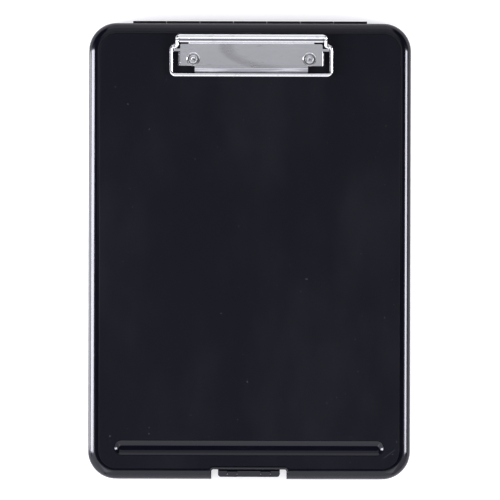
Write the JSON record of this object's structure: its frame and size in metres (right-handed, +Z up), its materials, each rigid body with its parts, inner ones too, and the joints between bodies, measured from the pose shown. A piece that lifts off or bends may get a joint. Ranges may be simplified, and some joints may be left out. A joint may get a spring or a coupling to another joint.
{
  "type": "storage clipboard box",
  "caption": "Flat storage box whose hinged lid is a writing board with a low wire clip, a pen groove and a swing latch on the front edge.",
  "frame": {"origin": "centre of the tray's footprint, on the face that it rests on", "axes": "+Z up, out of the writing panel; +Y along the case towards the lid hinge; +X to the right of someone who writes on it"},
  "size_m": [0.2416, 0.3436, 0.0321],
  "materials": {
    "case_plastic": "moulded black plastic with a smooth sheen",
    "lid_plastic": "black plastic, finely textured on the panel and polished on the edges and in the pen groove",
    "clip_plating": "bright nickel plating on pressed steel",
    "wire_plating": "bright nickel plating on steel wire",
    "rivet_plating": "bright plating on tubular rivets",
    "pin_steel": "plain drawn steel"
  },
  "bodies": {
    "tray": {"base_tray": "case_plastic", "lid_hinge_rod": "pin_steel"},
    "lid": {"lid_board": "lid_plastic", "clip_plate": "clip_plating", "clip_spring_strip": "clip_plating", "rivet_left": "rivet_plating", "rivet_right": "rivet_plating", "rivet_washer_left": "pin_steel", "rivet_washer_right": "pin_steel", "latch_pin": "pin_steel"},
    "clip": {"clip_thumb_rail": "clip_plating", "clip_wire_bail": "wire_plating"},
    "latch": {"latch_clasp": "case_plastic"}
  },
  "joints": [
    {"name": "lid_hinge", "type": "hinge", "parent": "tray", "child": "lid", "pos_m": [0, 0.1702, 0.0155], "axis": [-1, 0, 0], "range_deg": [0, 115]},
    {"name": "clip_hinge", "type": "hinge", "parent": "lid", "child": "clip", "pos_m": [0.001, 0.1534, 0.0275], "axis": [-1, 0, 0], "range_deg": [0, 22], "stiffness_Nm_per_rad": 0.5, "springref_deg": -28.65, "deforming": ["clip_spring_strip"]},
    {"name": "latch_hinge", "type": "hinge", "parent": "lid", "child": "latch", "pos_m": [0, -0.16695, 0.0206], "axis": [-1, 0, 0], "range_deg": [0, 75]}
  ]
}
